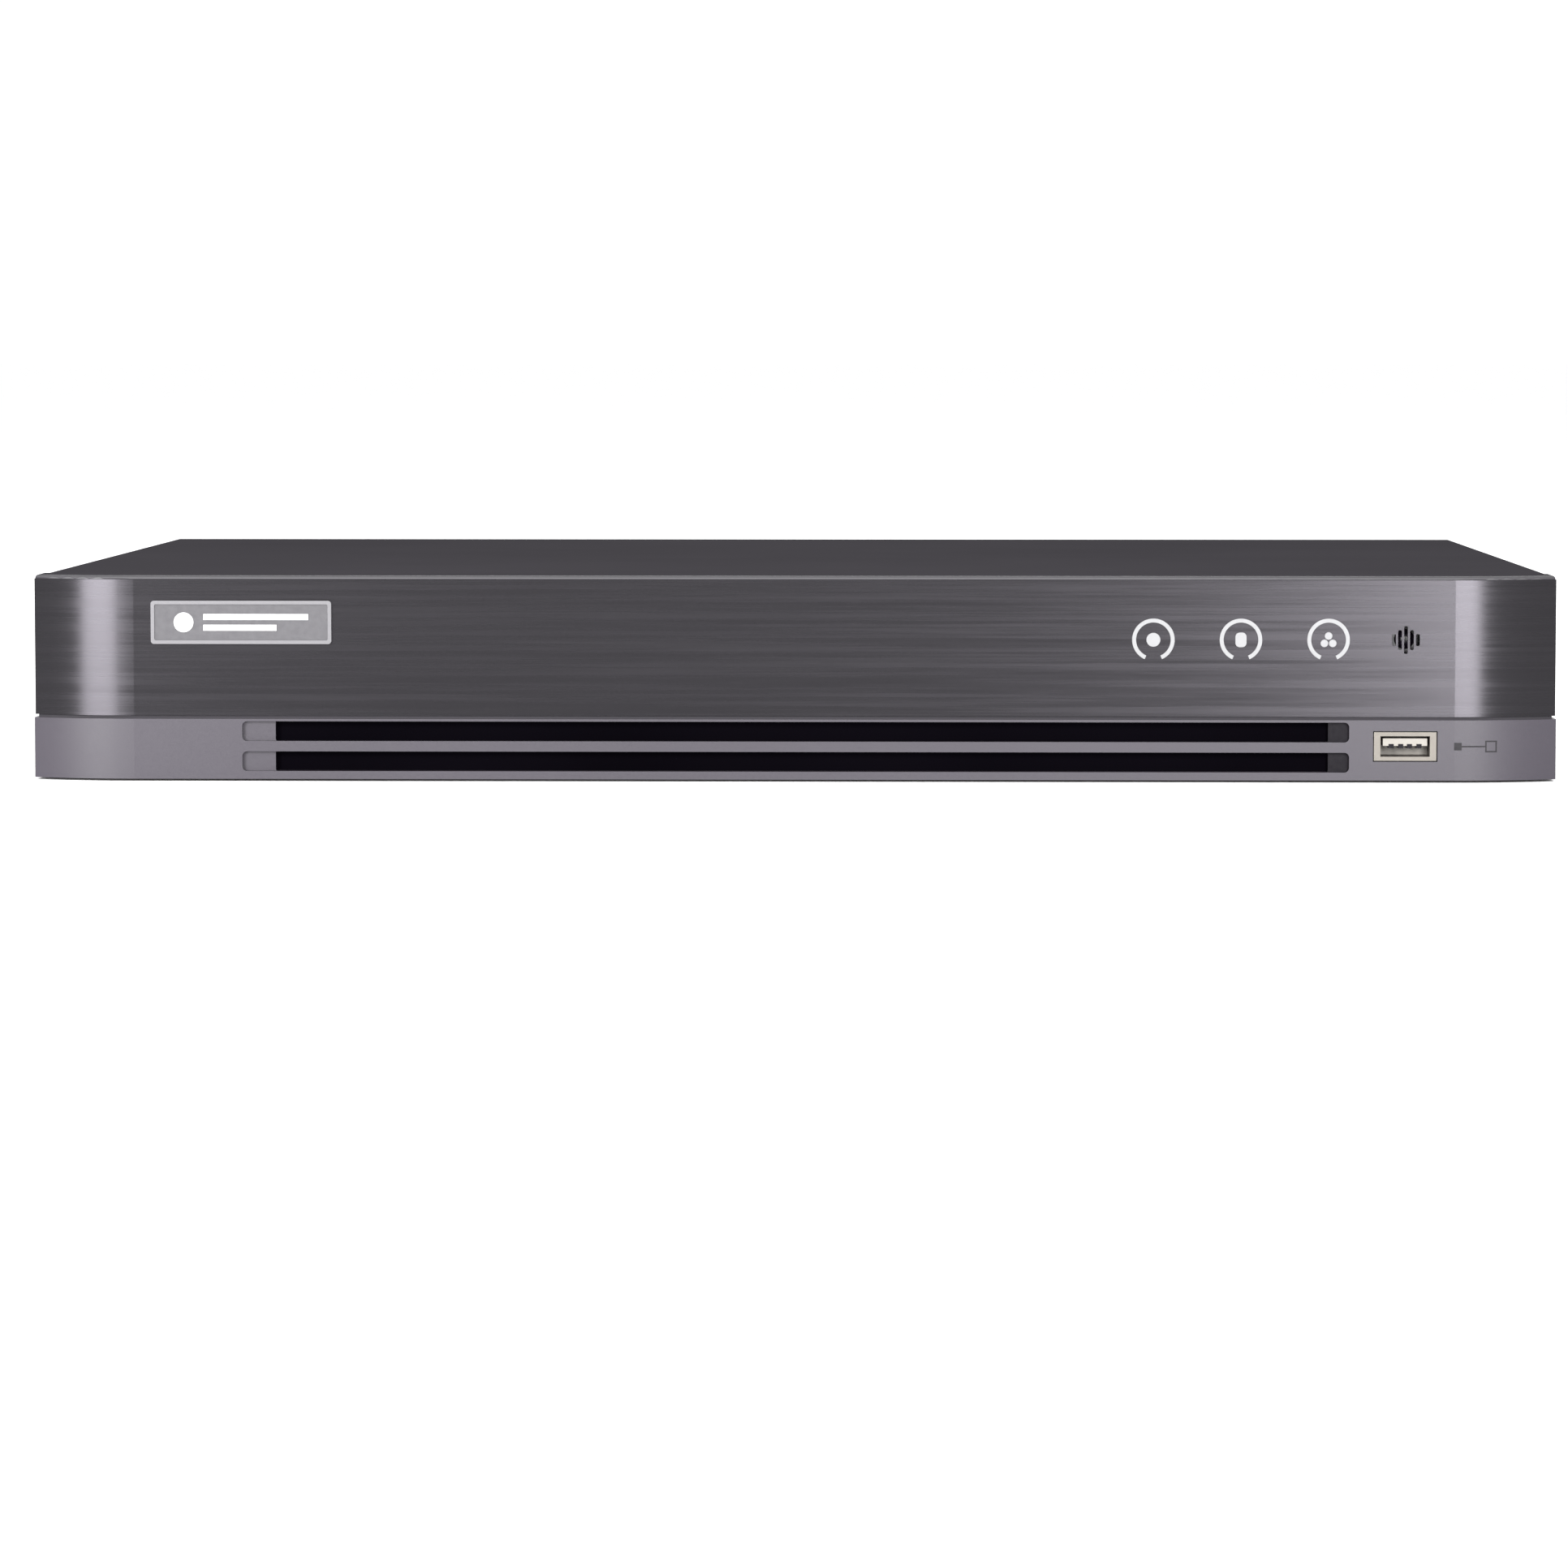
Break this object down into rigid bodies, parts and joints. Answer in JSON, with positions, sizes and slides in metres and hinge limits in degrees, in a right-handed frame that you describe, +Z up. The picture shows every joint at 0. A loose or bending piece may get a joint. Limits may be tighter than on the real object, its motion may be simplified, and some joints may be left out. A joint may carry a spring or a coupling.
{
  "type": "dvr recorder",
  "caption": "Desktop surveillance video recorder: dark steel case, curved brushed front with air slots, badge and lamps, and a rear panel of coaxial, audio, data and terminal sockets.",
  "frame": {"origin": "middle of the footprint, rear jacks included, on the surface that the feet stand on", "axes": "+X to the right seen from the front, +Y to the rear, +Z up; the front faces -Y"},
  "size_m": [0.385, 0.315, 0.052],
  "materials": {
    "pan_steel": "satin light grey paint on folded sheet steel",
    "cover_paint": "fine matt charcoal powder paint",
    "bezel_plastic": "satin grey moulding",
    "fascia_metal": "dark brushed sheet with the grain along X",
    "badge_metal": "satin plate with a raised rim, left blank",
    "light_guide": "milky clear moulding",
    "socket_metal": "tinned sheet steel",
    "pale_plastic": "cream moulding",
    "board_green": "solder-masked glass fibre board",
    "foot_rubber": "matt black",
    "chip_black": "black packages",
    "sink_aluminium": "plain finned block",
    "disk_metal": "cast housing",
    "lead_sheath": "flat insulated leads",
    "screw_steel": "plated steel",
    "black_plastic": "black moulding",
    "jack_nickel": "nickel plated",
    "contact_gold": "gold plated contacts",
    "red_plastic": "red moulding",
    "blue_plastic": "blue moulding",
    "terminal_green": "green moulding",
    "lever_orange": "orange moulding",
    "filter_mesh": "black woven dust mesh",
    "black_screw": "blackened steel"
  },
  "bodies": {
    "recorder": {"chassis_pan": "pan_steel", "top_cover": "cover_paint", "front_bezel": "bezel_plastic", "fascia_panel": "fascia_metal", "badge_plate": "badge_metal", "indicator_light_guide": "light_guide", "front_usb_shell": "socket_metal", "front_usb_tongue": "pale_plastic", "front_board": "board_green", "rubber_feet": "foot_rubber", "main_board": "board_green", "board_chips": "chip_black", "heat_sink": "sink_aluminium", "hard_disk_1": "disk_metal", "hard_disk_2": "disk_metal", "inner_leads": "lead_sheath", "machine_screws": "screw_steel", "fan_frame": "black_plastic", "jack_housings": "black_plastic", "bnc_shells": "jack_nickel", "white_insulators": "pale_plastic", "jack_contacts": "contact_gold", "rca_shells": "jack_nickel", "red_inserts": "red_plastic", "rear_usb_shell": "socket_metal", "rear_usb_tongue": "blue_plastic", "display_socket_shell": "socket_metal", "display_socket_tongue": "black_plastic", "monitor_socket_shell": "socket_metal", "monitor_socket_insert": "black_plastic", "lan_shell": "socket_metal", "lan_insert": "black_plastic", "alarm_terminal": "terminal_green", "bus_terminal": "terminal_green", "dc_jack": "black_plastic", "switch_frame": "black_plastic", "air_filter": "filter_mesh", "cover_screws": "black_screw"},
    "alarm_lever_01_body": {"alarm_lever_01": "lever_orange"},
    "alarm_lever_02_body": {"alarm_lever_02": "lever_orange"},
    "alarm_lever_03_body": {"alarm_lever_03": "lever_orange"},
    "alarm_lever_04_body": {"alarm_lever_04": "lever_orange"},
    "alarm_lever_05_body": {"alarm_lever_05": "lever_orange"},
    "alarm_lever_06_body": {"alarm_lever_06": "lever_orange"},
    "alarm_lever_07_body": {"alarm_lever_07": "lever_orange"},
    "alarm_lever_08_body": {"alarm_lever_08": "lever_orange"},
    "alarm_lever_09_body": {"alarm_lever_09": "lever_orange"},
    "alarm_lever_10_body": {"alarm_lever_10": "lever_orange"},
    "alarm_lever_11_body": {"alarm_lever_11": "lever_orange"},
    "alarm_lever_12_body": {"alarm_lever_12": "lever_orange"},
    "alarm_lever_13_body": {"alarm_lever_13": "lever_orange"},
    "alarm_lever_14_body": {"alarm_lever_14": "lever_orange"},
    "alarm_lever_15_body": {"alarm_lever_15": "lever_orange"},
    "alarm_lever_16_body": {"alarm_lever_16": "lever_orange"},
    "alarm_lever_17_body": {"alarm_lever_17": "lever_orange"},
    "alarm_lever_18_body": {"alarm_lever_18": "lever_orange"},
    "bus_lever_1_body": {"bus_lever_1": "lever_orange"},
    "bus_lever_2_body": {"bus_lever_2": "lever_orange"},
    "rocker": {"power_rocker": "black_plastic"},
    "rotor": {"fan_rotor": "black_plastic"}
  },
  "joints": [
    {"name": "alarm_lever_01_press", "type": "slide", "parent": "recorder", "child": "alarm_lever_01_body", "axis": [0, -1, 0], "range_m": [0, 0.0012], "stiffness_N_per_m": 1500, "springref_m": -0.0002},
    {"name": "alarm_lever_02_press", "type": "slide", "parent": "recorder", "child": "alarm_lever_02_body", "axis": [0, -1, 0], "range_m": [0, 0.0012], "stiffness_N_per_m": 1500, "springref_m": -0.0002},
    {"name": "alarm_lever_03_press", "type": "slide", "parent": "recorder", "child": "alarm_lever_03_body", "axis": [0, -1, 0], "range_m": [0, 0.0012], "stiffness_N_per_m": 1500, "springref_m": -0.0002},
    {"name": "alarm_lever_04_press", "type": "slide", "parent": "recorder", "child": "alarm_lever_04_body", "axis": [0, -1, 0], "range_m": [0, 0.0012], "stiffness_N_per_m": 1500, "springref_m": -0.0002},
    {"name": "alarm_lever_05_press", "type": "slide", "parent": "recorder", "child": "alarm_lever_05_body", "axis": [0, -1, 0], "range_m": [0, 0.0012], "stiffness_N_per_m": 1500, "springref_m": -0.0002},
    {"name": "alarm_lever_06_press", "type": "slide", "parent": "recorder", "child": "alarm_lever_06_body", "axis": [0, -1, 0], "range_m": [0, 0.0012], "stiffness_N_per_m": 1500, "springref_m": -0.0002},
    {"name": "alarm_lever_07_press", "type": "slide", "parent": "recorder", "child": "alarm_lever_07_body", "axis": [0, -1, 0], "range_m": [0, 0.0012], "stiffness_N_per_m": 1500, "springref_m": -0.0002},
    {"name": "alarm_lever_08_press", "type": "slide", "parent": "recorder", "child": "alarm_lever_08_body", "axis": [0, -1, 0], "range_m": [0, 0.0012], "stiffness_N_per_m": 1500, "springref_m": -0.0002},
    {"name": "alarm_lever_09_press", "type": "slide", "parent": "recorder", "child": "alarm_lever_09_body", "axis": [0, -1, 0], "range_m": [0, 0.0012], "stiffness_N_per_m": 1500, "springref_m": -0.0002},
    {"name": "alarm_lever_10_press", "type": "slide", "parent": "recorder", "child": "alarm_lever_10_body", "axis": [0, -1, 0], "range_m": [0, 0.0012], "stiffness_N_per_m": 1500, "springref_m": -0.0002},
    {"name": "alarm_lever_11_press", "type": "slide", "parent": "recorder", "child": "alarm_lever_11_body", "axis": [0, -1, 0], "range_m": [0, 0.0012], "stiffness_N_per_m": 1500, "springref_m": -0.0002},
    {"name": "alarm_lever_12_press", "type": "slide", "parent": "recorder", "child": "alarm_lever_12_body", "axis": [0, -1, 0], "range_m": [0, 0.0012], "stiffness_N_per_m": 1500, "springref_m": -0.0002},
    {"name": "alarm_lever_13_press", "type": "slide", "parent": "recorder", "child": "alarm_lever_13_body", "axis": [0, -1, 0], "range_m": [0, 0.0012], "stiffness_N_per_m": 1500, "springref_m": -0.0002},
    {"name": "alarm_lever_14_press", "type": "slide", "parent": "recorder", "child": "alarm_lever_14_body", "axis": [0, -1, 0], "range_m": [0, 0.0012], "stiffness_N_per_m": 1500, "springref_m": -0.0002},
    {"name": "alarm_lever_15_press", "type": "slide", "parent": "recorder", "child": "alarm_lever_15_body", "axis": [0, -1, 0], "range_m": [0, 0.0012], "stiffness_N_per_m": 1500, "springref_m": -0.0002},
    {"name": "alarm_lever_16_press", "type": "slide", "parent": "recorder", "child": "alarm_lever_16_body", "axis": [0, -1, 0], "range_m": [0, 0.0012], "stiffness_N_per_m": 1500, "springref_m": -0.0002},
    {"name": "alarm_lever_17_press", "type": "slide", "parent": "recorder", "child": "alarm_lever_17_body", "axis": [0, -1, 0], "range_m": [0, 0.0012], "stiffness_N_per_m": 1500, "springref_m": -0.0002},
    {"name": "alarm_lever_18_press", "type": "slide", "parent": "recorder", "child": "alarm_lever_18_body", "axis": [0, -1, 0], "range_m": [0, 0.0012], "stiffness_N_per_m": 1500, "springref_m": -0.0002},
    {"name": "bus_lever_1_press", "type": "slide", "parent": "recorder", "child": "bus_lever_1_body", "axis": [0, -1, 0], "range_m": [0, 0.0012], "stiffness_N_per_m": 1500, "springref_m": -0.0002},
    {"name": "bus_lever_2_press", "type": "slide", "parent": "recorder", "child": "bus_lever_2_body", "axis": [0, -1, 0], "range_m": [0, 0.0012], "stiffness_N_per_m": 1500, "springref_m": -0.0002},
    {"name": "rocker_tilt", "type": "hinge", "parent": "recorder", "child": "rocker", "pos_m": [-0.0414, 0.1426, 0.0334], "axis": [0, 0, 1], "range_deg": [0, 16]},
    {"name": "fan_spin", "type": "hinge", "parent": "recorder", "child": "rotor", "pos_m": [-0.1816, 0.08, 0.026], "axis": [1, 0, 0], "continuous": true}
  ]
}
